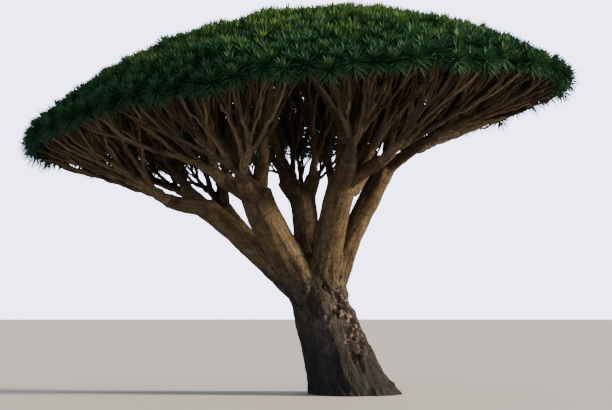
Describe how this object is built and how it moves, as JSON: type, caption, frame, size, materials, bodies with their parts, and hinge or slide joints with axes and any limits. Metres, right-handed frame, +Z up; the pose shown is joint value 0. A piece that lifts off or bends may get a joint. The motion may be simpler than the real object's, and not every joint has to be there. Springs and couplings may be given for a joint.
{
  "type": "dragon blood tree",
  "caption": "Whole dragon blood tree: a leaning trunk with a flared foot that opens into upright boughs under a wide domed umbrella crown.",
  "frame": {"origin": "ground level, at the middle of the flat cut under the trunk", "axes": "+Z up along gravity, +X towards the side that the trunk leans away from, -Y towards the viewer of the picture"},
  "size_m": [9.5077, 9.6386, 6.5037],
  "materials": {
    "trunk_bark": "rough grey-brown bark with shallow furrows, wrinkles and a scarred patch",
    "bough_bark": "smoother warm grey-brown bark with rings where older growth ended",
    "foliage": "stiff satin sword leaves in rosettes"
  },
  "bodies": {
    "root": {"bough_back": "bough_bark", "bough_back_left": "bough_bark", "bough_back_right": "bough_bark", "bough_front_left": "bough_bark", "bough_front_right": "bough_bark", "bough_left": "bough_bark", "bough_middle": "bough_bark", "bough_right": "bough_bark", "foliage_01": "foliage", "foliage_02": "foliage", "foliage_03": "foliage", "foliage_04": "foliage", "foliage_05": "foliage", "foliage_06": "foliage", "foliage_07": "foliage", "foliage_08": "foliage", "foliage_09": "foliage", "foliage_10": "foliage", "foliage_11": "foliage", "foliage_12": "foliage", "foliage_13": "foliage", "foliage_14": "foliage", "foliage_15": "foliage", "foliage_16": "foliage", "foliage_17": "foliage", "foliage_18": "foliage", "foliage_19": "foliage", "foliage_20": "foliage", "foliage_21": "foliage", "foliage_22": "foliage", "foliage_23": "foliage", "foliage_24": "foliage", "foliage_25": "foliage", "limb_01": "bough_bark", "limb_02": "bough_bark", "limb_03": "bough_bark", "limb_04": "bough_bark", "limb_05": "bough_bark", "limb_06": "bough_bark", "limb_07": "bough_bark", "limb_08": "bough_bark", "limb_09": "bough_bark", "limb_10": "bough_bark", "limb_11": "bough_bark", "limb_12": "bough_bark", "limb_13": "bough_bark", "limb_14": "bough_bark", "limb_15": "bough_bark", "limb_16": "bough_bark", "limb_17": "bough_bark", "limb_18": "bough_bark", "limb_19": "bough_bark", "limb_20": "bough_bark", "limb_21": "bough_bark", "limb_22": "bough_bark", "limb_23": "bough_bark", "limb_24": "bough_bark", "limb_25": "bough_bark", "trunk": "trunk_bark"}
  },
  "joints": []
}
